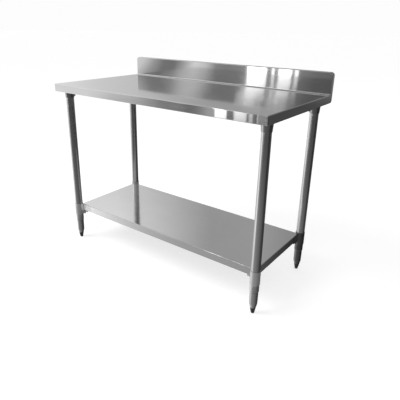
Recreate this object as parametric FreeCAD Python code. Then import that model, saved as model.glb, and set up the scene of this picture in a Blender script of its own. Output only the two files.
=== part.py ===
import FreeCAD, Part
import math
import os

# Stainless work table. Millimetres: X along the length, -Y the front, +Z up,
# origin on the floor under the middle of the table.

# Driving dimensions of the worktop and its backsplash
LENGTH = 1219.2
DEPTH = 635.0
WORK_HEIGHT = 889.0
SPLASH_HEIGHT = 101.6
SPLASH_DEPTH = 25.4
SKIRT = 38.1            # turned-down edge of the worktop and of the shelf
RETURN = 9.5            # inward return along a skirt's lower edge
SHEET = 1.2             # 18 gauge sheet
BEND_R = 3.0            # outer radius of the bends that show
EDGE_R = 2.0            # outer radius of the bends into a return
CORNER_R = 4.0          # ground corner where two skirts meet
COVE_R = 5.0            # deck to backsplash
SPLASH_CORNER_R = 16.0
REAR_CORNER_R = 12.0    # lower rear corner of each end piece
SPLASH_DROP = 14.0      # lip down the back of the backsplash

# Legs, gussets and levelling feet
LEG_R = 20.65           # 1-5/8 in tube
LEG_WALL = 1.2
LEG_FROM_END = 35.0
LEG_FROM_FRONT = 63.5
LEG_FROM_REAR = 110.0
LEG_BOTTOM = 114.0
SOCKET_GAP = 0.1        # round a leg in its gusset
GUSSET_BOTTOM = 815.0
GUSSET_TOP_R = 25.5
GUSSET_LOW_R = 22.3
GUSSET_PLATE = (64.0, 90.0, 2.5)
GUSSET_PLATE_R = 8.0
GUSSET_BOLT_AT = (14.0, 36.0)
GUSSET_SCREW_Z = 829.0
GUSSET_BOSS_R = 7.0
GUSSET_BOSS_REACH = 28.0     # from the leg's centre
RIM = 2.0               # insert's rim, under the tube's end
INSERT_DEPTH = 26.0
STUD_R = 6.0
STUD_HEAD_R = 9.0
STUD_HEAD = 10.0
STUD_ABOVE = 39.0       # thread above the foot's top
STUD_GAP = 0.05         # running clearance of the stud in its insert
FOOT_TOP = 111.5
FOOT_TOP_R = 19.1
FOOT_LOW = 50.0
FOOT_LOW_R = 18.2
FOOT_WALL = 1.5
FOOT_CAP = 4.0
TIP_TOP = 30.0
TIP_PLUG = 14.0
TIP_GAP = 0.3
TIP_R = 13.4
TIP_FLOOR_R = 7.6

# Undershelf and its clamps
SHELF_HALF_X = 569.0
SHELF_FRONT = -237.0
SHELF_REAR = 195.0
SHELF_TOP = 206.5
CLAMP_BOTTOM = 148.0
CLAMP_TOP = 213.0
CLAMP_R = 22.4
CLAMP_GAP = 0.3         # the clamp slides along the leg
NOTCH_GAP = 0.2
LUG = 42.0
LUG_THICK = 8.0
LUG_INSET = 1.5
LUG_SCREW_AT = (32.0, 6.0)   # along the skirt from the corner, and in from its face
CLAMP_SCREW_Z = 156.0
CLAMP_BOSS_REACH = 34.0
CLAMP_BOSS_WIDTH = 15.0
CLAMP_BOSS_BELOW = 7.0
PAN_HEAD_R = 4.0
PAN_HEAD = 2.5

# Hat channels under the sheets
HAT_WIDTH = 64.0
HAT_WEB = 44.0
HAT_HEIGHT = 25.4
HAT_SHEET = 1.5
HAT_BEND_R = 0.8        # inside radius
CROSS_STUDS = [-240, 0, 240]
LONG_STUDS = [-480, -240, 0, 240, 480]
LONG_CHANNEL_Y = -23.0
SHELF_CHANNEL_LENGTH = 1060.0
SHELF_STUDS = [-420, -140, 140, 420]
CHANNEL_GAP = 2.0       # left at a channel's ends
HOLE_GAP = 0.25         # round a stud or bolt in its hole

# Fasteners: shank radius, nut or head width across flats, nut or head height
M5 = (2.5, 8.0, 4.0)
M6 = (3.0, 10.0, 5.0)
SET_SCREW_R = 4.0
SET_SCREW_KEY = 4.0
STUD_LENGTH = 9.0
THREAD_GAP = 0.05
SCREW_PROUD = 0.5       # how far a set screw stands out of its boss
BROKEN_EDGE = 1.0       # chamfers on turned and cast edges

# Worked out from the above
BOTTOM = WORK_HEIGHT - SKIRT
TOTAL_HEIGHT = WORK_HEIGHT + SPLASH_HEIGHT
SPLASH_FACE = DEPTH / 2 - SPLASH_DEPTH
DECK_UNDER = WORK_HEIGHT - SHEET
SHELF_UNDER = SHELF_TOP - SHEET
SHELF_BOTTOM = SHELF_TOP - SKIRT
WEB_Z = DECK_UNDER - HAT_HEIGHT
FLANGE_MID = (HAT_WIDTH + HAT_WEB) / 4
LEG_X = LENGTH / 2 - LEG_FROM_END
LEG_FRONT_Y = -DEPTH / 2 + LEG_FROM_FRONT
LEG_REAR_Y = DEPTH / 2 - LEG_FROM_REAR
BEYOND = 5.0            # how far a cutting solid runs past what it cuts
NEAR = 1e-3

CORNERS = {
    "front_left": (-1, -1),
    "front_right": (1, -1),
    "rear_left": (-1, 1),
    "rear_right": (1, 1),
}


def vec(x, y, z):
    return FreeCAD.Vector(x, y, z)


def block(x0, x1, y0, y1, z0, z1):
    return Part.makeBox(x1 - x0, y1 - y0, z1 - z0, vec(x0, y0, z0))


def rod(x, y, z0, z1, radius):
    return Part.makeCylinder(radius, z1 - z0, vec(x, y, z0))


def prism(points, along):
    """The closed polygon through the points, pushed along a vector."""
    return Part.Face(Part.makePolygon(points + points[:1])).extrude(along)


def turned(x, y, profile):
    """Solid of revolution about the upright line at x, y. The profile is (radius, height) points."""
    points = [vec(x + radius, y, z) for radius, z in profile]
    face = Part.Face(Part.makePolygon(points + points[:1]))
    return face.revolve(vec(x, y, 0), vec(0, 0, 1), 360)


def hexagon(x, y, z0, z1, across_flats):
    """Upright hexagonal prism with flats that face along X."""
    radius = across_flats / math.sqrt(3)
    angles = [math.radians(30 + 60 * k) for k in range(6)]
    points = [vec(x + radius * math.cos(a), y + radius * math.sin(a), z0) for a in angles]
    return prism(points, vec(0, 0, z1 - z0))


def aimed(shape, x, y, z, side_x, side_y):
    """A shape made along +X at the origin, turned towards the table's middle and put at x, y, z."""
    copy = shape.copy()
    copy.rotate(vec(0, 0, 0), vec(0, 0, 1), math.degrees(math.atan2(-side_y, -side_x)))
    copy.translate(vec(x, y, z))
    return copy


def sideways_rod(r0, r1, radius):
    """Cylinder along +X from r0 to r1."""
    return Part.makeCylinder(radius, r1 - r0, vec(r0, 0, 0), vec(1, 0, 0))


def rounded(shape, radius, wanted):
    """Fillets each edge whose two ends and middle all pass the test."""
    chosen = []
    for edge in shape.Edges:
        middle = edge.valueAt((edge.FirstParameter + edge.LastParameter) / 2)
        ends = [vertex.Point for vertex in edge.Vertexes]
        if wanted(ends + [middle]):
            chosen.append(edge)
    return shape.makeFillet(radius, chosen)


def upright(points):
    """Whether an edge runs up and down."""
    return abs(points[0].z - points[1].z) > NEAR


def save(name, *solids):
    """Writes one node, as one solid or as a group of separate solids."""
    shape = solids[0] if len(solids) == 1 else Part.makeCompound(list(solids))
    shape.exportStep(os.path.join("parts", name + ".step"))


def leg_centre(side_x, side_y):
    return side_x * LEG_X, LEG_FRONT_Y if side_y < 0 else LEG_REAR_Y


# Worktop


def worktop_outline(inset, x):
    """Outline of the deck, cove and backsplash across the table, moved inwards by inset."""
    front = -DEPTH / 2 + inset
    rear = DEPTH / 2 - inset
    deck = WORK_HEIGHT - inset
    bottom = BOTTOM + inset
    face = SPLASH_FACE + inset
    top = TOTAL_HEIGHT - inset
    cove_y = SPLASH_FACE - COVE_R
    cove_z = WORK_HEIGHT + COVE_R
    radius = COVE_R + inset
    slant = radius * math.sqrt(0.5)
    cove = Part.Arc(
        vec(x, cove_y, deck), vec(x, cove_y + slant, cove_z - slant), vec(x, face, cove_z)
    )
    before = [vec(x, front, bottom), vec(x, front, deck), vec(x, cove_y, deck)]
    after = [
        vec(x, face, cove_z),
        vec(x, face, top),
        vec(x, rear, top),
        vec(x, rear, bottom),
        vec(x, front, bottom),
    ]
    edges = Part.makePolygon(before).Edges + [cove.toShape()] + Part.makePolygon(after).Edges
    return Part.Wire(edges)


def worktop_body(inset):
    """Solid inside the worktop's skin, moved inwards by inset, with every bend rounded."""
    half = LENGTH / 2 - inset
    front = -DEPTH / 2 + inset
    rear = DEPTH / 2 - inset
    deck = WORK_HEIGHT - inset
    bottom = BOTTOM + inset
    face = SPLASH_FACE + inset
    top = TOTAL_HEIGHT - inset
    body = Part.Face(worktop_outline(inset, -half)).extrude(vec(2 * half, 0, 0))

    def top_corner(points):
        return all(abs(p.x) > half - NEAR and p.z > top - NEAR for p in points)

    def front_corner(points):
        return all(abs(p.x) > half - NEAR and p.y < front + NEAR for p in points)

    def lower_rear(points):
        return all(p.y > rear - NEAR and p.z < bottom + NEAR for p in points)

    def showing_bend(points):
        middle = points[-1]
        on_top = all(p.z > deck - NEAR and p.y < face + NEAR for p in points)
        at_front = middle.y < front + CORNER_R
        at_end = abs(middle.x) > half - NEAR
        round_splash = all(p.y > face - NEAR and p.z > top - SPLASH_CORNER_R for p in points)
        return on_top and (at_front or at_end or round_splash)

    def hidden_bend(points):
        middle = points[-1]
        below = all(p.z < bottom + NEAR for p in points)
        behind = all(p.y > rear - NEAR for p in points)
        at_end = all(abs(p.x) > half - NEAR for p in points)
        swept = at_end and middle.y > rear - REAR_CORNER_R and middle.z < bottom + REAR_CORNER_R
        return below or behind or swept

    body = rounded(body, SPLASH_CORNER_R - inset, top_corner)
    body = rounded(body, CORNER_R - inset, front_corner)
    body = rounded(body, REAR_CORNER_R - inset, lower_rear)
    body = rounded(body, BEND_R - inset, showing_bend)
    if inset == 0:
        body = rounded(body, EDGE_R, hidden_bend)
    return body


def worktop_skin():
    """The folded and welded sheet, open below and behind inside its returns."""
    open_x = LENGTH / 2 - RETURN
    rear = DEPTH / 2
    below = block(
        -open_x, open_x, -rear + RETURN, rear + BEYOND, BOTTOM - BEYOND, BOTTOM + BEYOND
    )
    behind = block(
        -open_x, open_x, rear - BEYOND, rear + BEYOND, BOTTOM - BEYOND, TOTAL_HEIGHT - SPLASH_DROP
    )
    return worktop_body(0).cut(worktop_body(SHEET)).cut(below).cut(behind)


def splash_end_space(side_x):
    """Where one end piece is welded in, behind the backsplash's face."""
    inner = LENGTH / 2 - SPLASH_CORNER_R
    outer = LENGTH / 2 + BEYOND
    x0, x1 = sorted((side_x * inner, side_x * outer))
    y0, y1 = SPLASH_FACE + BEND_R, DEPTH / 2 + BEYOND
    return block(x0, x1, y0, y1, BOTTOM - BEYOND, TOTAL_HEIGHT + BEYOND)


def build_worktop():
    skin = worktop_skin()
    sheet = skin
    for side_x, side in ((-1, "left"), (1, "right")):
        space = splash_end_space(side_x)
        save("splash_end_" + side, skin.common(space).Solids[0])
        sheet = sheet.cut(space)
    save("worktop", sheet.Solids[0])


# Channels under the sheets


def hat_channel(length, under, holes):
    """Hat channel along X, centred on the origin, its flanges against the height under."""
    wide, web = HAT_WIDTH / 2, HAT_WEB / 2
    inner = web - HAT_SHEET
    low = under - HAT_HEIGHT
    right = [
        (web, low),
        (web, under - HAT_SHEET),
        (wide, under - HAT_SHEET),
        (wide, under),
        (inner, under),
        (inner, low + HAT_SHEET),
    ]
    section = right + [(-across, z) for across, z in reversed(right)]
    shape = prism([vec(-length / 2, across, z) for across, z in section], vec(length, 0, 0))

    def inside_bend(points):
        across, z = abs(points[-1].y), points[-1].z
        along = abs(points[0].x - points[1].x) > NEAR
        at_web = abs(across - inner) < NEAR and z < under - NEAR
        at_flange = abs(across - web) < NEAR and z > low + NEAR
        return along and (at_web or at_flange)

    def outside_bend(points):
        across, z = abs(points[-1].y), points[-1].z
        along = abs(points[0].x - points[1].x) > NEAR
        at_web = abs(across - web) < NEAR and z < low + NEAR
        at_flange = abs(across - inner) < NEAR and z > under - NEAR
        return along and (at_web or at_flange)

    shape = rounded(shape, HAT_BEND_R, inside_bend)
    shape = rounded(shape, HAT_BEND_R + HAT_SHEET, outside_bend)
    for x, y, radius in holes:
        shape = shape.cut(rod(x, y, low - BEYOND, under + BEYOND, radius))
    return shape


def weld_stud(x, y, under):
    return rod(x, y, under - STUD_LENGTH, under, M5[0])


def stud_nut(x, y, under):
    shank, flats, height = M5
    top = under - HAT_SHEET
    nut = hexagon(x, y, top - height, top, flats)
    return nut.cut(rod(x, y, top - BEYOND, top, shank + THREAD_GAP))


def flange_points(stations):
    """Stud positions on both flanges of a channel along X."""
    return [(x, side * FLANGE_MID) for x in stations for side in (-1, 1)]


def build_channels():
    studs, nuts = [], []
    stud_hole = M5[0] + HOLE_GAP
    cross_front = -DEPTH / 2 + SHEET + CHANNEL_GAP
    cross_rear = SPLASH_FACE - COVE_R - CHANNEL_GAP
    cross_length = cross_rear - cross_front
    cross_mid = (cross_rear + cross_front) / 2
    cross_at = flange_points(CROSS_STUDS)
    bolts_at = [
        (leg_y - cross_mid + along * GUSSET_BOLT_AT[1], across * GUSSET_BOLT_AT[0])
        for leg_y in (LEG_FRONT_Y, LEG_REAR_Y)
        for along in (-1, 1)
        for across in (-1, 1)
    ]
    holes = [(x, y, stud_hole) for x, y in cross_at]
    holes += [(x, y, M6[0] + HOLE_GAP) for x, y in bolts_at]
    for side_x, side in ((-1, "left"), (1, "right")):
        channel = hat_channel(cross_length, DECK_UNDER, holes)
        channel.rotate(vec(0, 0, 0), vec(0, 0, 1), 90)
        channel.translate(vec(side_x * LEG_X, cross_mid, 0))
        save("top_cross_channel_" + side, channel)
        studs += [weld_stud(side_x * LEG_X - y, cross_mid + x, DECK_UNDER) for x, y in cross_at]
        nuts += [stud_nut(side_x * LEG_X - y, cross_mid + x, DECK_UNDER) for x, y in cross_at]

    long_length = 2 * (LEG_X - HAT_WIDTH / 2 - CHANNEL_GAP)
    long_at = flange_points(LONG_STUDS)
    channel = hat_channel(long_length, DECK_UNDER, [(x, y, stud_hole) for x, y in long_at])
    channel.translate(vec(0, LONG_CHANNEL_Y, 0))
    save("top_long_channel", channel)
    studs += [weld_stud(x, LONG_CHANNEL_Y + y, DECK_UNDER) for x, y in long_at]
    nuts += [stud_nut(x, LONG_CHANNEL_Y + y, DECK_UNDER) for x, y in long_at]
    save("top_channel_studs", *studs)
    save("top_channel_nuts", *nuts)


# Legs, gussets and feet


def set_screw(r0, r1):
    """Socket set screw along +X, with its socket at the outer end r1."""
    socket = hexagon(0, 0, 0, SET_SCREW_R, SET_SCREW_KEY)
    socket.rotate(vec(0, 0, 0), vec(0, 1, 0), 90)
    socket.translate(vec(r1 - SET_SCREW_R, 0, 0))
    return sideways_rod(r0, r1, SET_SCREW_R).cut(socket)


def gusset(x, y, side_x, side_y):
    """Plate under the cross channel with a flared socket for the leg."""
    wide, deep, thick = GUSSET_PLATE
    plate_z = WEB_Z - thick
    bore = LEG_R + SOCKET_GAP
    plate = block(x - wide / 2, x + wide / 2, y - deep / 2, y + deep / 2, plate_z, WEB_Z)
    plate = rounded(plate, GUSSET_PLATE_R, upright)
    socket = turned(
        x,
        y,
        [
            (bore, GUSSET_BOTTOM),
            (GUSSET_LOW_R - BROKEN_EDGE / 2, GUSSET_BOTTOM),
            (GUSSET_LOW_R, GUSSET_BOTTOM + BROKEN_EDGE),
            (GUSSET_TOP_R, plate_z - 2 * BROKEN_EDGE),
            (GUSSET_TOP_R + 2 * BROKEN_EDGE, plate_z),
            (bore, plate_z),
        ],
    )
    boss = sideways_rod(bore, GUSSET_BOSS_REACH, GUSSET_BOSS_R)
    boss = aimed(boss, x, y, GUSSET_SCREW_Z, side_x, side_y)
    hole = sideways_rod(0, GUSSET_BOSS_REACH + BEYOND, SET_SCREW_R + THREAD_GAP)
    hole = aimed(hole, x, y, GUSSET_SCREW_Z, side_x, side_y)
    shape = plate.fuse(socket).fuse(boss).cut(hole)
    shape = shape.cut(rod(x, y, GUSSET_BOTTOM, plate_z, bore))
    for bolt_x, bolt_y in gusset_bolt_centres(x, y):
        shape = shape.cut(rod(bolt_x, bolt_y, plate_z, WEB_Z, M6[0] + HOLE_GAP))
    return shape.removeSplitter()


def gusset_bolt_centres(x, y):
    across, along = GUSSET_BOLT_AT
    return [(x + a * across, y + b * along) for a in (-1, 1) for b in (-1, 1)]


def gusset_bolt(x, y):
    shank, flats, height = M6
    plate_z = WEB_Z - GUSSET_PLATE[2]
    head = hexagon(x, y, plate_z - height + BROKEN_EDGE, plate_z, flats)
    return head.fuse(rod(x, y, plate_z, WEB_Z + HAT_SHEET + height + 2 * BROKEN_EDGE, shank))


def gusset_nut(x, y):
    shank, flats, height = M6
    low = WEB_Z + HAT_SHEET
    return hexagon(x, y, low, low + height, flats).cut(
        rod(x, y, low, low + height, shank + THREAD_GAP)
    )


def leg(x, y):
    top = WEB_Z - GUSSET_PLATE[2] - RIM / 4
    tube = rod(x, y, LEG_BOTTOM, top, LEG_R)
    return tube.cut(rod(x, y, LEG_BOTTOM, top, LEG_R - LEG_WALL))


def leg_insert(x, y):
    """Plug pressed into the tube, with a rim under the tube's end and a thread for the stud."""
    plug_r = LEG_R - LEG_WALL
    bore = STUD_R + STUD_GAP
    low = LEG_BOTTOM - RIM
    high = LEG_BOTTOM + INSERT_DEPTH
    profile = [
        (bore, low),
        (LEG_R - BROKEN_EDGE, low),
        (LEG_R - BROKEN_EDGE / 4, low + BROKEN_EDGE),
        (LEG_R - BROKEN_EDGE / 4, LEG_BOTTOM),
        (plug_r, LEG_BOTTOM),
        (plug_r, high - 2 * BROKEN_EDGE),
        (plug_r - BROKEN_EDGE, high),
        (bore, high),
    ]
    return turned(x, y, profile)


def foot_body(x, y):
    """Slightly tapered cup, closed at the top, open below for the tip."""
    inner_low = TIP_R - FOOT_WALL
    profile = [
        (STUD_R, FOOT_TOP - FOOT_CAP),
        (FOOT_TOP_R - FOOT_WALL, FOOT_TOP - FOOT_CAP),
        (FOOT_LOW_R - FOOT_WALL, FOOT_LOW),
        (inner_low, TIP_TOP + 2 * FOOT_WALL),
        (inner_low, TIP_TOP),
        (TIP_R, TIP_TOP),
        (FOOT_LOW_R, FOOT_LOW),
        (FOOT_TOP_R, FOOT_TOP - BROKEN_EDGE),
        (FOOT_TOP_R - BROKEN_EDGE, FOOT_TOP),
        (STUD_R, FOOT_TOP),
    ]
    return turned(x, y, profile)


def foot_stud(x, y):
    """Threaded stud with a head under the foot's cap."""
    high = FOOT_TOP - FOOT_CAP
    low = high - STUD_HEAD
    end = FOOT_TOP + STUD_ABOVE
    profile = [
        (0, low),
        (STUD_HEAD_R, low),
        (STUD_HEAD_R, high),
        (STUD_R, high),
        (STUD_R, end),
        (STUD_R - BROKEN_EDGE, end + BROKEN_EDGE),
        (0, end + BROKEN_EDGE),
    ]
    return turned(x, y, profile)


def foot_tip(x, y):
    """Conical glide, with a plug that sits in the foot's open end."""
    plug = TIP_R - FOOT_WALL - STUD_GAP
    brim = TIP_R - TIP_GAP
    top = TIP_TOP - TIP_GAP
    profile = [
        (0, 0),
        (TIP_FLOOR_R - BROKEN_EDGE, 0),
        (TIP_FLOOR_R, BROKEN_EDGE),
        (brim, top - 2 * BROKEN_EDGE),
        (brim, top),
        (plug, top),
        (plug, TIP_TOP + TIP_PLUG - 2 * BROKEN_EDGE),
        (plug - 2 * BROKEN_EDGE, TIP_TOP + TIP_PLUG),
        (0, TIP_TOP + TIP_PLUG),
    ]
    return turned(x, y, profile)


def build_legs():
    bolts, nuts, screws = [], [], []
    for name, (side_x, side_y) in CORNERS.items():
        x, y = leg_centre(side_x, side_y)
        save("gusset_" + name, gusset(x, y, side_x, side_y))
        save("leg_" + name, leg(x, y))
        save("leg_insert_" + name, leg_insert(x, y))
        save("foot_body_" + name, foot_body(x, y))
        save("foot_stud_" + name, foot_stud(x, y))
        save("foot_tip_" + name, foot_tip(x, y))
        bolts += [gusset_bolt(*centre) for centre in gusset_bolt_centres(x, y)]
        nuts += [gusset_nut(*centre) for centre in gusset_bolt_centres(x, y)]
        screw = set_screw(LEG_R + THREAD_GAP, GUSSET_BOSS_REACH + SCREW_PROUD)
        screws.append(aimed(screw, x, y, GUSSET_SCREW_Z, side_x, side_y))
    save("gusset_bolts", *bolts)
    save("gusset_nuts", *nuts)
    save("gusset_set_screws", *screws)


# Undershelf and its clamps


def shelf_body(inset):
    half = SHELF_HALF_X - inset
    low, high = SHELF_BOTTOM + inset, SHELF_TOP - inset
    body = block(-half, half, SHELF_FRONT + inset, SHELF_REAR - inset, low, high)
    body = rounded(body, CORNER_R - inset, upright)
    body = rounded(body, BEND_R - inset, lambda points: all(p.z > high - NEAR for p in points))
    if inset == 0:
        body = rounded(body, EDGE_R, lambda points: all(p.z < low + NEAR for p in points))
    return body


def undershelf():
    """Folded tray, its corners notched round the clamps."""
    open_x = SHELF_HALF_X - RETURN
    below = block(
        -open_x,
        open_x,
        SHELF_FRONT + RETURN,
        SHELF_REAR - RETURN,
        SHELF_BOTTOM - BEYOND,
        SHELF_BOTTOM + BEYOND,
    )
    tray = shelf_body(0).cut(shelf_body(SHEET)).cut(below)
    for side_x, side_y in CORNERS.values():
        x, y = leg_centre(side_x, side_y)
        notch = rod(x, y, SHELF_BOTTOM - BEYOND, SHELF_TOP + BEYOND, CLAMP_R + NOTCH_GAP)
        tray = tray.cut(notch)
        for screw_x, screw_y in lug_screw_centres(side_x, side_y):
            radius = M5[0] + HOLE_GAP
            hole = rod(screw_x, screw_y, SHELF_BOTTOM - BEYOND, SHELF_BOTTOM + BEYOND, radius)
            tray = tray.cut(hole)
    return tray.Solids[0]


def shelf_corner(side_x, side_y):
    return side_x * SHELF_HALF_X, SHELF_FRONT if side_y < 0 else SHELF_REAR


def lug_screw_centres(side_x, side_y):
    """One screw by each of the two skirts that meet at the corner."""
    x, y = shelf_corner(side_x, side_y)
    along, inwards = LUG_SCREW_AT
    return [
        (x - side_x * along, y - side_y * inwards),
        (x - side_x * inwards, y - side_y * along),
    ]


def leg_clamp(side_x, side_y):
    """Collar round the leg, with a lug under the shelf's corner and a boss for the set screw."""
    x, y = leg_centre(side_x, side_y)
    corner_x, corner_y = shelf_corner(side_x, side_y)
    corner_x -= side_x * LUG_INSET
    corner_y -= side_y * LUG_INSET
    low = SHELF_BOTTOM - LUG_THICK
    lug = prism(
        [
            vec(corner_x, corner_y, low),
            vec(corner_x - side_x * LUG, corner_y, low),
            vec(corner_x, corner_y - side_y * LUG, low),
        ],
        vec(0, 0, LUG_THICK),
    )
    collar = turned(
        x,
        y,
        [
            (LEG_R, CLAMP_BOTTOM),
            (CLAMP_R - BROKEN_EDGE / 2, CLAMP_BOTTOM),
            (CLAMP_R, CLAMP_BOTTOM + BROKEN_EDGE),
            (CLAMP_R, CLAMP_TOP - BROKEN_EDGE),
            (CLAMP_R - BROKEN_EDGE / 2, CLAMP_TOP),
            (LEG_R, CLAMP_TOP),
        ],
    )
    reach, half = CLAMP_BOSS_REACH, CLAMP_BOSS_WIDTH / 2
    boss = block(LEG_R, reach, -half, half, -CLAMP_BOSS_BELOW, low + 1 - CLAMP_SCREW_Z)
    boss = rounded(
        boss, 3 * BROKEN_EDGE, lambda points: all(p.x > reach - NEAR for p in points[:2])
        and abs(points[0].y - points[1].y) < NEAR
    )
    shape = collar.fuse(lug).fuse(aimed(boss, x, y, CLAMP_SCREW_Z, side_x, side_y))
    hole = sideways_rod(0, reach + BEYOND, SET_SCREW_R + THREAD_GAP)
    shape = shape.cut(aimed(hole, x, y, CLAMP_SCREW_Z, side_x, side_y))
    shape = shape.cut(rod(x, y, CLAMP_BOTTOM - BEYOND, CLAMP_TOP + BEYOND, LEG_R + CLAMP_GAP))
    for screw_x, screw_y in lug_screw_centres(side_x, side_y):
        shape = shape.cut(rod(screw_x, screw_y, low - BEYOND, SHELF_BOTTOM, M5[0] + HOLE_GAP))
    return shape.removeSplitter().Solids[0]


def lug_screw(x, y):
    """Pan-head screw up through the lug and the shelf's return."""
    low = SHELF_BOTTOM - LUG_THICK
    head = rod(x, y, low - PAN_HEAD, low, PAN_HEAD_R)
    head = rounded(head, BROKEN_EDGE, lambda points: all(p.z < low - BROKEN_EDGE for p in points))
    return head.fuse(rod(x, y, low, SHELF_BOTTOM + SHEET + M5[2] + BROKEN_EDGE, M5[0]))


def lug_nut(x, y):
    shank, flats, height = M5
    low = SHELF_BOTTOM + SHEET
    return hexagon(x, y, low, low + height, flats).cut(
        rod(x, y, low, low + height, shank + THREAD_GAP)
    )


def build_shelf():
    save("undershelf", undershelf())
    screws, nuts, set_screws = [], [], []
    for name, (side_x, side_y) in CORNERS.items():
        x, y = leg_centre(side_x, side_y)
        save("leg_clamp_" + name, leg_clamp(side_x, side_y))
        centres = lug_screw_centres(side_x, side_y)
        screws += [lug_screw(*centre) for centre in centres]
        nuts += [lug_nut(*centre) for centre in centres]
        screw = set_screw(LEG_R + CLAMP_GAP, CLAMP_BOSS_REACH + SCREW_PROUD)
        set_screws.append(aimed(screw, x, y, CLAMP_SCREW_Z, side_x, side_y))
    save("clamp_screws", *screws)
    save("clamp_nuts", *nuts)
    save("clamp_set_screws", *set_screws)

    stud_at = flange_points(SHELF_STUDS)
    middle = (SHELF_FRONT + SHELF_REAR) / 2
    stud_hole = M5[0] + HOLE_GAP
    holes = [(x, y, stud_hole) for x, y in stud_at]
    channel = hat_channel(SHELF_CHANNEL_LENGTH, SHELF_UNDER, holes)
    channel.translate(vec(0, middle, 0))
    save("shelf_channel", channel)
    save("shelf_channel_studs", *[weld_stud(x, middle + y, SHELF_UNDER) for x, y in stud_at])
    save("shelf_channel_nuts", *[stud_nut(x, middle + y, SHELF_UNDER) for x, y in stud_at])


os.makedirs("parts", exist_ok=True)
build_worktop()
build_channels()
build_legs()
build_shelf()
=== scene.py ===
import math

import bmesh
import bpy
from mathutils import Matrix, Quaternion, Vector


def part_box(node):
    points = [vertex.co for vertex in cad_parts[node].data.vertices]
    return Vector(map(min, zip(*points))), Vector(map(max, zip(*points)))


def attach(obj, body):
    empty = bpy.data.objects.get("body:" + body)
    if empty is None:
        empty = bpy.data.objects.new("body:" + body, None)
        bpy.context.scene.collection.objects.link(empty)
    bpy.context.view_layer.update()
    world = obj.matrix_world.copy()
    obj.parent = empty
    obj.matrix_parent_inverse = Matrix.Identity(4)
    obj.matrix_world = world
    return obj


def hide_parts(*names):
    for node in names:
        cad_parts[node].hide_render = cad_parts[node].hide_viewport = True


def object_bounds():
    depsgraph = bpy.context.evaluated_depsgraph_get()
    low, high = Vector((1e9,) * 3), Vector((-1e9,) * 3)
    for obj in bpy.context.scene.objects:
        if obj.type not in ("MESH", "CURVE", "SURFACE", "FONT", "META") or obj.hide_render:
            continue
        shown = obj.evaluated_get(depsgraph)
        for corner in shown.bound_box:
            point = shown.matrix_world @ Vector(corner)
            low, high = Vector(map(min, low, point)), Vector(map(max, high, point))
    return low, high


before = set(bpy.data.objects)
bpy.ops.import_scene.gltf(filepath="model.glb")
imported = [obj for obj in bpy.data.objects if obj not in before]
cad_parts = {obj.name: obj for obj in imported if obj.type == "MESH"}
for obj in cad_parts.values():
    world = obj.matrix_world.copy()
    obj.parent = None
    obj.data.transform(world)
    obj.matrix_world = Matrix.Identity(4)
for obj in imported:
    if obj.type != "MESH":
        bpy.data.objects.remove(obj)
cad_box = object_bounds()

MM = 0.001
FULL_TURN = 2 * math.pi
CORNERS = ("front_left", "front_right", "rear_left", "rear_right")

# Places on the table that the finishes follow.
SKIRT = 38.1 * MM
WORKTOP_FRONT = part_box("worktop")[0].y
WORKTOP_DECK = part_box("worktop")[0].z + SKIRT
POLISH_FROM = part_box("leg_clamp_front_left")[0].z

# Patch at one front corner of a sheet: the sheet, its side (1 right, -1 left), the distances from
# its end at which the patch starts to fade and is gone, the roughness it adds, and how matt it is.
WORKTOP_CORNER = {
    "sheet": "worktop", "side": 1, "whole": 50 * MM, "gone": 58 * MM, "haze": 0.16, "matt_highlight": 0.0,
}
# The shelf's front left patch is rough and matt, and painted pale grey: a painted highlight.
SHELF_CORNER = {
    "sheet": "undershelf", "side": -1, "whole": 50 * MM, "gone": 130 * MM, "haze": 0.35, "matt_highlight": 0.8,
}

# Every corner patch: how ragged its edge is, the distances behind the sheet's front between which
# it fades out, and those below the deck at which it is whole and gone.
PATCH_RAGGED = 24 * MM
PATCH_BEHIND = (18 * MM, 26 * MM)
PATCH_BELOW = (3 * MM, 1 * MM)

# Bow of the worktop's front skirt: spans of X and the degrees it turns over each. The backsplash
# twists by the slope SPLASH_TWIST, one way at its foot and the other way at its upper edge.
SKIRT_BOW = ((0.07, 0.28, 1.21), (0.28, 0.466, 1.515))
SPLASH_TWIST = math.tan(math.radians(0.42))

# Camera: stands to the front right of the table and looks a little down on it.
CAMERA_AT = (1.2807, -1.6659, 1.1916)
CAMERA_AIM = (0.0431, 0.0, 0.4095)
CAMERA_ROLL = math.radians(0.934)
CAMERA_LENS = 38.25
CAMERA_SHIFT = (0.0197, -0.0430)

# Foot stud: its head, its thread, and the rings to a turn and corners to a ring of its mesh.
STUD_HEAD = 10 * MM
STUD_HEAD_R = 9 * MM
STUD_BEVEL = 1 * MM
STUD_R = 6 * MM
STUD_CORE = STUD_R - 0.95 * MM
STUD_PITCH = 1.75 * MM
THREAD_TURNS = 22
THREAD_STEPS = 10
STUD_CORNERS = 40

# Studio: strengths of the light on matt surfaces, of the backdrop and of the floor's glow, the
# floor's two greys and its radius in metres.
DOME = 0.55
BACKDROP = 0.98
FLOOR_GLOW = 0.66
FLOOR_GREYS = (0.56, 0.59)
FLOOR_RADIUS = 60

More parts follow.
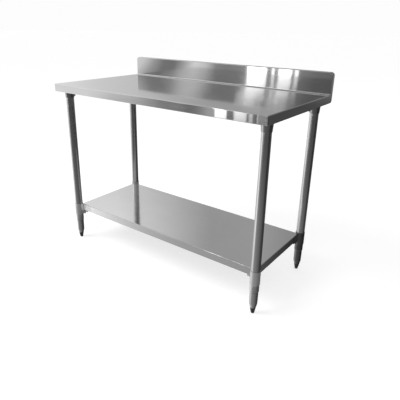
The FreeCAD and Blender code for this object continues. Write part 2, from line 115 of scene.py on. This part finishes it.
# Room: sRGB greys that polished steel mirrors, by azimuth in degrees anticlockwise from +X,
# one band for each elevation in degrees. Each band starts and ends on the same grey.
ROOM = {
    -34: (
        (0, 92), (21, 72), (50, 70), (62, 92), (70, 46), (88, 50), (115, 110), (150, 220),
        (200, 240), (216, 230), (231, 172), (257, 156), (280, 146), (303, 134), (327, 124), (353, 100),
    ),
    -26: (
        (0, 94), (22, 68), (45, 66), (61, 92), (69, 42), (85, 46), (112, 130), (150, 240),
        (198, 262), (204, 290), (214, 290), (219, 262), (222, 232), (226, 202), (230, 184),
        (235, 176), (259, 150), (283, 140), (306, 128), (329, 118), (354, 98),
    ),
    -18: (
        (0, 66), (6, 36), (11, 24), (17, 40), (30, 74), (60, 78), (92, 88), (118, 220),
        (156, 255), (198, 262), (204, 290), (214, 288), (220, 240), (227, 198), (236, 160),
        (252, 124), (275, 106), (300, 100), (330, 98), (350, 86),
    ),
    -10: (
        (0, 58), (5, 38), (9, 20), (14, 24), (21, 62), (34, 80), (62, 74), (80, 90), (108, 230),
        (198, 262), (205, 272), (216, 252), (220, 236), (221.6, 214), (223, 194), (225.5, 186),
        (227.3, 168), (229, 148), (231, 134), (233, 128), (235, 110), (237, 138), (239, 180),
        (241, 160), (243, 118), (247, 112), (251, 104), (258, 88), (301, 74), (322, 80), (345, 76),
    ),
    -7: (
        (0, 96), (60, 110), (110, 165), (150, 236), (216, 240), (225.8, 240), (227.1, 218),
        (228.1, 154), (229.3, 128), (230.4, 124), (231.4, 146), (232.3, 200), (233.5, 246),
        (234.5, 240), (235.6, 192), (236.6, 126), (237.7, 142), (239.5, 150), (246.9, 150),
        (248, 132), (249.2, 124), (251, 114), (270, 100), (300, 96),
    ),
    12: (
        (0, 112), (70, 100), (110, 158), (122, 168), (127, 170), (131, 184), (134, 200),
        (137, 208), (140, 216), (143, 232), (150, 238), (200, 240), (225, 216), (227.4, 140),
        (230, 132), (232, 210), (234, 214), (236, 132), (246, 140), (249, 96), (270, 96), (320, 112),
    ),
    20: (
        (0, 176), (14, 180), (60, 150), (90, 118), (110, 151), (116, 168), (124, 167), (127, 179),
        (130, 195), (134, 214), (138, 230), (143, 240), (198, 250), (206, 330), (224, 340),
        (240, 290), (261, 250), (302, 214), (337, 184),
    ),
    27: (
        (0, 120), (90, 104), (110, 146), (116, 172), (124, 166), (130, 206), (138, 246),
        (200, 250), (240, 222), (250, 150), (300, 140),
    ),
    60: ((0, 104), (90, 88), (150, 172), (190, 190), (230, 120), (300, 106)),
}

# Tall windows in the room: azimuth from and to, strength, and the elevation of the sill.
WINDOWS = (
    (240.3, 242.9, 3.0, -13),
    (243.45, 243.9, 1.8, -10),
    (244.3, 246.1, 2.2, -13),
    (246.35, 246.95, 1.5, -13),
)

# All windows: width of a side's soft edge in degrees, the elevations between which the lower
# panes brighten from a share of the full strength, and those between which the tops fade out.
WINDOW_EDGE = 0.12
WINDOW_DIM = (-12, -7, 0.34)
WINDOW_FADE = (4, 11)

# The room bulges sideways between these elevations, by this much azimuth at the middle one.
BULGE_AT = (7.6, 9.4, 12.5)
BULGE = 1.7

# Sockets of a Mix node: the two inputs and the output, by data type.
MIX_SOCKETS = {"VECTOR": (4, 5, 1), "RGBA": (6, 7, 2)}


# ---------------------------------------------------------------- nodes


def linear(shade):
    """Linear light of an sRGB grey, 255 being white."""
    value = shade / 255
    return value / 12.92 if value <= 0.04045 else ((value + 0.055) / 1.055) ** 2.4


def grey(value):
    """Opaque grey of one linear value."""
    return (value, value, value, 1)


def node(tree, kind, inputs=None, **settings):
    """Adds a node. An input given as a socket is linked, and any other value is set on it."""
    made = tree.nodes.new("ShaderNode" + kind)
    for name, value in settings.items():
        setattr(made, name, value)
    for key, value in (inputs or {}).items():
        if isinstance(value, bpy.types.NodeSocket):
            tree.links.new(value, made.inputs[key])
        else:
            made.inputs[key].default_value = value
    return made


def math_node(tree, operation, a, b=0.0):
    """Output of one Math node."""
    return node(tree, "Math", {0: a, 1: b}, operation=operation).outputs[0]


def vector_node(tree, operation, a, b=(0.0, 0.0, 0.0)):
    """Output of one Vector Math node."""
    return node(tree, "VectorMath", {0: a, 1: b}, operation=operation).outputs[0]


def product(tree, values):
    """Product of several values."""
    result = values[0]
    for value in values[1:]:
        result = math_node(tree, "MULTIPLY", result, value)
    return result


def greatest(tree, values):
    """The greatest of several values."""
    result = values[0]
    for value in values[1:]:
        result = math_node(tree, "MAXIMUM", result, value)
    return result


def weighted(tree, parts):
    """Sum of several values, each times its weight."""
    total = None
    for value, weight in parts:
        part = math_node(tree, "MULTIPLY", value, weight)
        total = part if total is None else math_node(tree, "ADD", total, part)
    return total


def remap(tree, value, low, high, to_low=0.0, to_high=1.0, smooth=False):
    """value from low..high to to_low..to_high, held at the ends."""
    inputs = {"Value": value, "From Min": low, "From Max": high, "To Min": to_low, "To Max": to_high}
    kind = "SMOOTHSTEP" if smooth else "LINEAR"
    return node(tree, "MapRange", inputs, interpolation_type=kind).outputs[0]


def mix(tree, kind, share, a, b):
    """From a to b by share; kind is VECTOR or RGBA."""
    first, second, result = MIX_SOCKETS[kind]
    inputs = {"Factor": share, first: a, second: b}
    return node(tree, "Mix", inputs, data_type=kind).outputs[result]


def blend(tree, share, a, b):
    """Colour from a to b by share."""
    return mix(tree, "RGBA", share, a, b)


def grey_ramp(tree, value, stops):
    """Colour ramp of greys; stops are (place from 0 to 1, linear grey)."""
    made = node(tree, "ValToRGB", {"Fac": value})
    elements = made.color_ramp.elements
    while len(elements) > 1:
        elements.remove(elements[-1])
    for index, (place, shade) in enumerate(stops):
        element = elements[0] if index == 0 else elements.new(place)
        element.position = place
        element.color = grey(shade)
    return made.outputs["Color"]


def noise(tree, place, scale, detail=2.0, roughness=0.5):
    """Noise at place, which is scaled along each axis first."""
    stretched = vector_node(tree, "MULTIPLY", place, scale)
    inputs = {"Vector": stretched, "Scale": 1.0, "Detail": detail, "Roughness": roughness}
    return node(tree, "TexNoise", inputs).outputs["Fac"]


def object_place(tree):
    """Place on the surface, in the table's own axes, in metres."""
    return node(tree, "TexCoord").outputs["Object"]


# ---------------------------------------------------------------- studio


def mirrored_direction(tree):
    """Azimuth as a share of a full turn, and elevation in degrees, of a direction in the room."""
    direction = node(tree, "TexCoord").outputs["Generated"]
    axes = node(tree, "SeparateXYZ", {0: direction})
    turn = math_node(tree, "ARCTAN2", axes.outputs["Y"], axes.outputs["X"])
    turn = math_node(tree, "DIVIDE", turn, FULL_TURN)
    azimuth = math_node(tree, "FRACT", math_node(tree, "ADD", turn, 1.0))
    rise = math_node(tree, "ARCSINE", axes.outputs["Z"])
    elevation = math_node(tree, "MULTIPLY", rise, 180 / math.pi)
    low, middle, high = BULGE_AT
    swell = remap(tree, elevation, low, middle, 0.0, BULGE / 360)
    shrink = remap(tree, elevation, middle, high, 0.0, BULGE / 360)
    bulge = math_node(tree, "SUBTRACT", swell, shrink)
    return math_node(tree, "ADD", azimuth, bulge), elevation


def room_colour(tree, azimuth, elevation):
    """Bands of the room, each blended into the next one up."""
    colour = None
    below = None
    for height, greys in sorted(ROOM.items()):
        stops = [(degrees / 360, linear(shade)) for degrees, shade in greys]
        stops.append((1.0, stops[0][1]))
        band = grey_ramp(tree, azimuth, stops)
        if colour is None:
            colour = band
        else:
            share = remap(tree, elevation, below, height, smooth=True)
            colour = blend(tree, share, colour, band)
        below = height
    return colour


def window_light(tree, azimuth, elevation):
    """Sum of the windows' strengths at a direction."""
    total = None
    edge = WINDOW_EDGE / 360
    for start, end, strength, sill in WINDOWS:
        rise = remap(tree, azimuth, start / 360, start / 360 + edge)
        fall = remap(tree, azimuth, end / 360 - edge, end / 360, strength, 0.0)
        above = remap(tree, elevation, sill - 0.6, sill + 0.6, smooth=True)
        window = product(tree, [rise, fall, above])
        total = window if total is None else math_node(tree, "ADD", total, window)
    dim = remap(tree, elevation, *WINDOW_DIM, 1.0)
    fade = remap(tree, elevation, *WINDOW_FADE, 1.0, 0.0)
    return product(tree, [total, dim, fade])


def studio_world():
    """Plain pale surroundings; steel mirrors a room of soft greys with four tall windows."""
    world = bpy.data.worlds.new("studio")
    bpy.context.scene.world = world
    world.use_nodes = True
    tree = world.node_tree
    tree.nodes.clear()
    azimuth, elevation = mirrored_direction(tree)
    colour = room_colour(tree, azimuth, elevation)
    light = window_light(tree, azimuth, elevation)
    room = node(tree, "Background", {"Color": colour, "Strength": 1.0})
    windows = node(tree, "Background", {"Color": (1, 1, 1, 1), "Strength": light})
    mirrored = node(tree, "AddShader", {0: room.outputs[0], 1: windows.outputs[0]})
    dome = node(tree, "Background", {"Color": (1, 1, 1, 1), "Strength": DOME})
    backdrop = node(tree, "Background", {"Color": grey(BACKDROP), "Strength": 1.0})
    path = node(tree, "LightPath")
    diffuse = {0: path.outputs["Is Diffuse Ray"], 1: mirrored.outputs[0], 2: dome.outputs[0]}
    lit = node(tree, "MixShader", diffuse)
    direct = {0: path.outputs["Is Camera Ray"], 1: lit.outputs[0], 2: backdrop.outputs[0]}
    seen = node(tree, "MixShader", direct)
    node(tree, "OutputWorld", {"Surface": seen.outputs[0]})


def floor_material():
    """Pale seamless studio floor with a trace of mottling."""
    made, tree, shader = new_material("studio_floor")
    inputs = {"Vector": object_place(tree), "Scale": 1.5, "Detail": 3.0}
    cloud = node(tree, "TexNoise", inputs).outputs["Fac"]
    dark, light = FLOOR_GREYS
    colour = blend(tree, cloud, grey(dark), grey(light))
    tree.links.new(colour, shader.inputs["Base Color"])
    shader.inputs["Roughness"].default_value = 0.9
    shader.inputs["Specular IOR Level"].default_value = 0.1
    shader.inputs["Emission Color"].default_value = (1, 1, 1, 1)
    shader.inputs["Emission Strength"].default_value = FLOOR_GLOW
    return made


def build_floor():
    """Large disc under the feet, left out of mirror images."""
    mesh = bpy.data.meshes.new("floor")
    shape = bmesh.new()
    bmesh.ops.create_circle(shape, cap_ends=True, segments=96, radius=FLOOR_RADIUS)
    shape.to_mesh(mesh)
    shape.free()
    floor = bpy.data.objects.new("floor", mesh)
    bpy.context.scene.collection.objects.link(floor)
    floor.location.z = cad_box[0].z - 0.5 * MM
    floor.visible_glossy = False
    floor.data.materials.append(floor_material())


def soft_lamp(name, place, aim, size, power):
    """Area light that lights the floor and the plastic; polished steel does not mirror it."""
    data = bpy.data.lights.new(name, "AREA")
    data.shape = "DISK"
    data.size = size
    data.energy = power
    lamp = bpy.data.objects.new(name, data)
    bpy.context.scene.collection.objects.link(lamp)
    lamp.location = place
    lamp.rotation_mode = "QUATERNION"
    lamp.rotation_quaternion = (Vector(aim) - Vector(place)).to_track_quat("-Z", "Y")
    lamp.visible_glossy = False


def build_camera():
    """Camera at the front right, above the worktop."""
    data = bpy.data.cameras.new("camera")
    data.lens = CAMERA_LENS
    data.shift_x, data.shift_y = CAMERA_SHIFT
    data.clip_start = 0.05
    data.clip_end = 200
    camera = bpy.data.objects.new("camera", data)
    bpy.context.scene.collection.objects.link(camera)
    camera.location = CAMERA_AT
    camera.rotation_mode = "QUATERNION"
    level = (Vector(CAMERA_AIM) - Vector(CAMERA_AT)).to_track_quat("-Z", "Y")
    camera.rotation_quaternion = level @ Quaternion((0, 0, 1), CAMERA_ROLL)
    bpy.context.scene.camera = camera


# ---------------------------------------------------------------- materials


def new_material(name):
    """Material with one Principled shader, and its tree and shader."""
    made = bpy.data.materials.new(name)
    made.use_nodes = True
    tree = made.node_tree
    tree.nodes.clear()
    shader = node(tree, "BsdfPrincipled")
    node(tree, "OutputMaterial", {"Surface": shader.outputs[0]})
    return made, tree, shader


def finish(tree, shader, colour, rough, facing, metal, across=None, stretch=0.0):
    """Links what varies to the shader and sets its metal share and how far its grain stretches glints."""
    tree.links.new(colour, shader.inputs["Base Color"])
    tree.links.new(rough, shader.inputs["Roughness"])
    tree.links.new(facing, shader.inputs["Normal"])
    shader.inputs["Metallic"].default_value = metal
    if across is not None:
        tree.links.new(across, shader.inputs["Tangent"])
        shader.inputs["Anisotropic"].default_value = stretch


def bump(tree, strength, distance, height, facing=None):
    """Normal, or facing where one is given, bent by a height that is worth distance metres."""
    inputs = {"Strength": strength, "Distance": distance, "Height": height}
    if facing is not None:
        inputs["Normal"] = facing
    return node(tree, "Bump", inputs).outputs[0]


def sheet_grain(tree, place, normal, worn):
    """How the grain of a folded sheet runs: along X, but down its end skirts and its worn corner."""
    axes = node(tree, "SeparateXYZ", {0: place})
    facing = node(tree, "SeparateXYZ", {0: vector_node(tree, "ABSOLUTE", normal)})
    end_skirt = math_node(tree, "GREATER_THAN", facing.outputs["X"], 0.75)
    down = greatest(tree, [end_skirt, worn])
    swapped = {0: axes.outputs["Z"], 1: axes.outputs["Y"], 2: axes.outputs["X"]}
    turned = node(tree, "CombineXYZ", swapped).outputs[0]
    along = mix(tree, "VECTOR", down, place, turned)
    run = mix(tree, "VECTOR", down, (1, 0, 0), (0, 0, 1))
    across = vector_node(tree, "CROSS_PRODUCT", normal, run)
    return along, across


def unseen_face(tree, place, normal):
    """1 on the back, the underside and the inner faces of the skirts, which keep their mill finish."""
    axes = node(tree, "SeparateXYZ", {0: place})
    facing = node(tree, "SeparateXYZ", {0: normal})
    side = math_node(tree, "SIGN", axes.outputs["X"])
    inwards = product(tree, [facing.outputs["X"], side, -1.0])
    under = math_node(tree, "MULTIPLY", facing.outputs["Z"], -1.0)
    steepest = greatest(tree, [facing.outputs["Y"], under, inwards])
    return math_node(tree, "GREATER_THAN", steepest, 0.6)


def corner_patch(tree, place, patch):
    """1 on a ragged patch at one front corner of a sheet, 0 elsewhere."""
    low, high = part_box(patch["sheet"])
    deck = low.z + SKIRT
    axes = node(tree, "SeparateXYZ", {0: place})
    ragged = noise(tree, place, (60, 60, 20), 3.0, 0.6)
    along = math_node(tree, "MULTIPLY", axes.outputs["X"], patch["side"])
    from_end = math_node(tree, "SUBTRACT", high.x, along)
    reach = math_node(tree, "ADD", from_end, math_node(tree, "MULTIPLY", ragged, PATCH_RAGGED))
    near_end = remap(tree, reach, patch["whole"], patch["gone"], 1.0, 0.0)
    behind = math_node(tree, "SUBTRACT", axes.outputs["Y"], low.y)
    near_front = remap(tree, behind, *PATCH_BEHIND, 1.0, 0.0)
    whole, gone = PATCH_BELOW
    below = remap(tree, axes.outputs["Z"], deck - whole, deck - gone, 1.0, 0.0)
    return product(tree, [near_end, near_front, below])


def brushed_sheet(name, tone, polish, haze, patch, bow=None):
    """Number 4 brushed stainless sheet: fine grain, longer drag lines, smudges, slight waviness."""
    made, tree, shader = new_material(name)
    place = object_place(tree)
    normal = node(tree, "NewGeometry").outputs["Normal"]
    # worn is the corner patch: its roughness and turned grain are wear, and where it is matt its pale
    # grey is a painted highlight.
    worn = corner_patch(tree, place, patch)
    mill = unseen_face(tree, place, normal)
    along, across = sheet_grain(tree, place, normal, worn)
    fine = noise(tree, along, (14, 2600, 2600), 3.0, 0.65)
    drag = noise(tree, along, (3, 420, 420), 3.0, 0.6)
    smudge = noise(tree, place, (5, 7, 7), 4.0, 0.6)
    cloud = noise(tree, place, (24, 24, 24), 5.0, 0.65)
    wave = noise(tree, place, (3.2, 5, 5), 1.0)
    shade = weighted(tree, ((fine, 0.45), (drag, 0.20), (smudge, 0.35)))
    brushed = blend(tree, remap(tree, shade, 0.30, 0.70), grey(tone * 0.93), grey(tone * 1.04))
    rolled = blend(tree, remap(tree, cloud, 0.35, 0.65), grey(tone * 0.80), grey(tone * 0.92))
    colour = blend(tree, mill, brushed, rolled)
    groove = remap(tree, fine, 0.54, 0.66, polish, haze)
    smeared = math_node(tree, "MULTIPLY", groove, remap(tree, smudge, 0.35, 0.7, 0.9, 1.2))
    unpolished = remap(tree, cloud, 0.3, 0.7, 0.16, 0.26)
    added = weighted(tree, ((worn, patch["haze"]), (mill, unpolished)))
    rough = math_node(tree, "ADD", smeared, added)
    facing = bump(tree, 1.0, 1.2e-4, wave, bump(tree, 0.5, 6e-7, fine))
    if bow is not None:
        facing = bow(tree, place, facing)
    # Painted highlight: a matt patch turns pale grey and less metallic.
    if patch["matt_highlight"]:
        colour = blend(tree, worn, colour, blend(tree, shade, grey(0.88), grey(0.96)))
        metal = remap(tree, worn, 0.0, 1.0, 1.0, 1.0 - patch["matt_highlight"])
        tree.links.new(metal, shader.inputs["Metallic"])
    finish(tree, shader, colour, rough, facing, 1.0, across, 1.0)
    return made


def worktop_bow(tree, place, facing):
    """Bows the right half of the worktop's front skirt and twists the backsplash's left half."""
    axes = node(tree, "SeparateXYZ", {0: place})
    front = WORKTOP_FRONT + 0.5 * MM
    on_front = remap(tree, axes.outputs["Y"], front, front + 1.5 * MM, 1.0, 0.0)
    turn = 0.0
    for start, stop, degrees in SKIRT_BOW:
        part = remap(tree, axes.outputs["X"], start, stop, 0.0, math.tan(math.radians(degrees)))
        turn = math_node(tree, "ADD", part, turn)
    skirt = math_node(tree, "MULTIPLY", on_front, turn)
    foot = WORKTOP_DECK + 5 * MM
    twist = remap(tree, axes.outputs["Z"], foot, foot + 95 * MM, SPLASH_TWIST, -SPLASH_TWIST)
    on_left = remap(tree, axes.outputs["X"], -0.6, -0.1, 1.0, 0.0)
    upright = remap(tree, axes.outputs["Z"], foot - 2 * MM, foot + 1 * MM)
    splash = product(tree, [twist, on_left, upright])
    lean = node(tree, "CombineXYZ", {0: math_node(tree, "ADD", skirt, splash)}).outputs[0]
    return vector_node(tree, "NORMALIZE", vector_node(tree, "ADD", facing, lean))


def polished_tube(name, tone, end_tone=0.74):
    """Polished tube: rings of fine grain round it and faint streaks. Its lower end is left dull; a low
    end_tone paints shade there.
    """
    made, tree, shader = new_material(name)
    place = object_place(tree)
    normal = node(tree, "NewGeometry").outputs["Normal"]
    height = node(tree, "SeparateXYZ", {0: place}).outputs["Z"]
    fine = noise(tree, place, (40, 40, 2200), 3.0, 0.6)
    streak = noise(tree, place, (160, 160, 5), 2.0, 0.5)
    mark = noise(tree, place, (22, 22, 22), 5.0, 0.7)
    end = remap(tree, height, POLISH_FROM - 1 * MM, POLISH_FROM + 1 * MM, 1.0, 0.0)
    shade = remap(tree, weighted(tree, ((fine, 0.5), (streak, 0.5))), 0.32, 0.68)
    polished = blend(tree, shade, grey(tone * 0.95), grey(tone * 1.03))
    # With a low end_tone this lower end colour is painted shade, not only a dull finish.
    dull = blend(tree, shade, grey(end_tone * 0.93), grey(end_tone * 1.05))
    colour = blend(tree, end, polished, dull)
    rings = remap(tree, fine, 0.40, 0.66, 0.10, 0.20)
    marked = math_node(tree, "MULTIPLY", rings, remap(tree, mark, 0.4, 0.65, 0.95, 1.15))
    rough = math_node(tree, "ADD", marked, math_node(tree, "MULTIPLY", end, 0.26))
    round_tube = vector_node(tree, "CROSS_PRODUCT", normal, (0, 0, 1))
    across = vector_node(tree, "CROSS_PRODUCT", normal, round_tube)
    finish(tree, shader, colour, rough, bump(tree, 0.3, 4e-7, fine), 1.0, across, 0.7)
    return made


def turned_metal(name, tone):
    """Satin metal with rings of turning marks and faint patches."""
    made, tree, shader = new_material(name)
    place = object_place(tree)
    fine = noise(tree, place, (60, 60, 2400), 3.0, 0.6)
    patch = noise(tree, place, (70, 70, 70), 4.0, 0.65)
    shade = weighted(tree, ((fine, 0.5), (patch, 0.5)))
    colour = blend(tree, remap(tree, shade, 0.35, 0.65), grey(tone * 0.93), grey(tone * 1.04))
    rough = remap(tree, shade, 0.35, 0.65, 0.16, 0.28)
    finish(tree, shader, colour, rough, bump(tree, 0.3, 1e-6, shade), 1.0)
    return made


def cast_metal(name, tone, shine):
    """Tumbled die casting: fine pebbled skin, darker in its pores; shine is the metal's share."""
    made, tree, shader = new_material(name)
    place = object_place(tree)
    pebble = noise(tree, place, (900, 900, 900), 3.0, 0.6)
    patch = noise(tree, place, (60, 60, 60), 4.0, 0.6)
    colour = blend(tree, remap(tree, pebble, 0.35, 0.6), grey(tone * 0.7), grey(tone))
    colour = blend(tree, remap(tree, patch, 0.5, 0.8, 0.0, 0.3), colour, grey(tone * 0.75))
    rough = remap(tree, patch, 0.3, 0.7, 0.34, 0.52)
    finish(tree, shader, colour, rough, bump(tree, 0.5, 4e-5, pebble), shine)
    return made


def galvanised_metal(name, tone):
    """Hot-dip zinc with crystal spangle."""
    made, tree, shader = new_material(name)
    place = object_place(tree)
    bent = noise(tree, place, (90, 90, 90), 2.0)
    moved = vector_node(tree, "ADD", place, vector_node(tree, "MULTIPLY", bent, (0.004, 0.004, 0.004)))
    cells = node(tree, "TexVoronoi", {"Vector": moved, "Scale": 85.0})
    level = node(tree, "SeparateColor", {0: cells.outputs["Color"]}).outputs["Red"]
    bloom = noise(tree, place, (40, 40, 40), 5.0, 0.7)
    colour = blend(tree, level, grey(tone * 0.72), grey(tone * 1.1))
    colour = blend(tree, remap(tree, bloom, 0.5, 0.75, 0.0, 0.4), colour, (0.62, 0.64, 0.66, 1))
    rough = remap(tree, level, 0.0, 1.0, 0.32, 0.55)
    finish(tree, shader, colour, rough, bump(tree, 0.3, 3e-5, level), 1.0)
    return made


def plated_metal(name, tone):
    """Bright zinc plate on fasteners, dulled in patches."""
    made, tree, shader = new_material(name)
    place = object_place(tree)
    patch = noise(tree, place, (260, 260, 260), 4.0, 0.65)
    grain = noise(tree, place, (1500, 1500, 1500), 2.0, 0.6)
    bright = (tone, tone, tone * 1.03, 1)
    colour = blend(tree, remap(tree, patch, 0.35, 0.7), bright, grey(tone * 0.72))
    rough = remap(tree, patch, 0.3, 0.7, 0.22, 0.42)
    finish(tree, shader, colour, rough, bump(tree, 0.3, 1e-5, grain), 1.0)
    return made


def moulded_plastic(name):
    """Black moulded plastic: spark-eroded texture, scuffed grey towards the floor."""
    made, tree, shader = new_material(name)
    place = object_place(tree)
    height = node(tree, "SeparateXYZ", {0: place}).outputs["Z"]
    grain = noise(tree, place, (1800, 1800, 1800), 2.0, 0.5)
    scuff = noise(tree, place, (300, 300, 120), 5.0, 0.7)
    low = remap(tree, height, 0.0, 12 * MM, 1.0, 0.0)
    worn = math_node(tree, "MULTIPLY", low, remap(tree, scuff, 0.48, 0.68))
    colour = blend(tree, grain, (0.010, 0.010, 0.011, 1), (0.022, 0.022, 0.024, 1))
    colour = blend(tree, worn, colour, (0.09, 0.09, 0.088, 1))
    rough = remap(tree, scuff, 0.3, 0.7, 0.36, 0.58)
    finish(tree, shader, colour, rough, bump(tree, 0.4, 3e-5, grain), 0.0)
    return made


def paint_nodes(finishes, darker):
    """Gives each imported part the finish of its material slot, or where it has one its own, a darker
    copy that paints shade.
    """
    for name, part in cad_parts.items():
        for holder in part.material_slots:
            slot = holder.material.name.split(".")[0]
            holder.material = darker.get(name, finishes[slot])


# ---------------------------------------------------------------- added pieces


def stud_rings(low, high):
    """Heights and radii of a stud's rings from its head up, and whether each is on the thread."""
    head_top = low + STUD_HEAD
    thread_low = high - THREAD_TURNS * STUD_PITCH
    rings = [
        (low, STUD_HEAD_R - STUD_BEVEL, False),
        (low + STUD_BEVEL, STUD_HEAD_R, False),
        (head_top - STUD_BEVEL, STUD_HEAD_R, False),
        (head_top, STUD_HEAD_R - 0.6 * STUD_BEVEL, False),
        (head_top + 0.01 * MM, STUD_CORE, False),
    ]
    for step in range(THREAD_TURNS * THREAD_STEPS + 1):
        height = thread_low + step * STUD_PITCH / THREAD_STEPS
        if height > head_top + 0.5 * MM:
            rings.append((height, STUD_R, True))
    return rings


def thread_radius(phase, to_end):
    """Radius at a phase of the pitch, with a flat crest and root, cut back by the end's chamfer."""
    climb = abs(2 * (phase % 1) - 1)
    flank = min(1, max(0, (climb - 0.12) / 0.70))
    return min(STUD_R - (STUD_R - STUD_CORE) * flank, STUD_CORE + max(0, to_end))


def stud_mesh(name, low, high):
    """Closed mesh of a stud with its head and helical thread."""
    centre = (low + high) / 2
    shape = bmesh.new()
    loops = []
    for height, radius, threaded in stud_rings(low.z, high.z):
        loop = []
        for corner in range(STUD_CORNERS):
            share = corner / STUD_CORNERS
            reach = thread_radius(height / STUD_PITCH - share, high.z - height) if threaded else radius
            east = reach * math.cos(FULL_TURN * share)
            north = reach * math.sin(FULL_TURN * share)
            loop.append(shape.verts.new((centre.x + east, centre.y + north, height)))
        loops.append(loop)
    for lower, upper in zip(loops, loops[1:]):
        for corner in range(STUD_CORNERS):
            after = (corner + 1) % STUD_CORNERS
            shape.faces.new((lower[corner], lower[after], upper[after], upper[corner]))
    shape.faces.new(list(reversed(loops[0])))
    shape.faces.new(loops[-1])
    mesh = bpy.data.meshes.new(name)
    shape.to_mesh(mesh)
    shape.free()
    for face in mesh.polygons:
        face.use_smooth = True
    mesh.set_sharp_from_angle(angle=math.radians(35))
    return mesh


def threaded_stud(corner, steel):
    """Foot stud with its helical thread, in place of the plain one."""
    plain = "foot_stud_" + corner
    name = plain + "_threaded"
    mesh = stud_mesh(name, *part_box(plain))
    mesh.materials.append(steel)
    stud = bpy.data.objects.new(name, mesh)
    bpy.context.scene.collection.objects.link(stud)
    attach(stud, "foot_" + corner)
    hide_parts(plain)


# ---------------------------------------------------------------- scene

finishes = {
    "worktop_steel": brushed_sheet(
        "worktop_steel_brushed", tone=0.72, polish=0.045, haze=0.11, patch=WORKTOP_CORNER, bow=worktop_bow
    ),
    "shelf_steel": brushed_sheet(
        "shelf_steel_brushed", tone=0.75, polish=0.06, haze=0.15, patch=SHELF_CORNER
    ),
    "leg_steel": polished_tube("leg_steel_polished", tone=0.62),
    # Painted shade: the gusset is the legs' polished steel at a darker tone, for the shade under the
    # worktop.
    "gusset_steel": polished_tube("gusset_steel_pressed_painted_shade", tone=0.42),
    "foot_steel": turned_metal("foot_steel_turned", tone=0.64),
    "channel_galvanised": galvanised_metal("channel_zinc_spangle", tone=0.55),
    "fastener_steel": plated_metal("fastener_zinc_plate", tone=0.66),
    "clamp_casting": cast_metal("clamp_cast_aluminium", tone=0.82, shine=0.88),
    "insert_casting": cast_metal("insert_cast_zinc", tone=0.55, shine=1.0),
    "foot_tip_plastic": moulded_plastic("foot_tip_black_plastic"),
}
# Painted shade: darker copies of the finishes for the rear right clamp, lower leg end and foot, which sit
# in shade under the shelf.
darker = {
    "leg_clamp_rear_right": cast_metal("clamp_cast_painted_shade", tone=0.22, shine=1.0),
    "leg_rear_right": polished_tube("leg_steel_painted_shade_end", tone=0.62, end_tone=0.18),
    "foot_body_rear_right": turned_metal("foot_steel_dark", tone=0.20),
}
paint_nodes(finishes, darker)
for corner in CORNERS:
    threaded_stud(corner, finishes["fastener_steel"])

studio_world()
build_floor()
soft_lamp("key", place=(-2.5, -2.5, 4.0), aim=(0, 0, 0.4), size=3.0, power=120)
build_camera()
bpy.context.scene.view_settings.view_transform = "Standard"
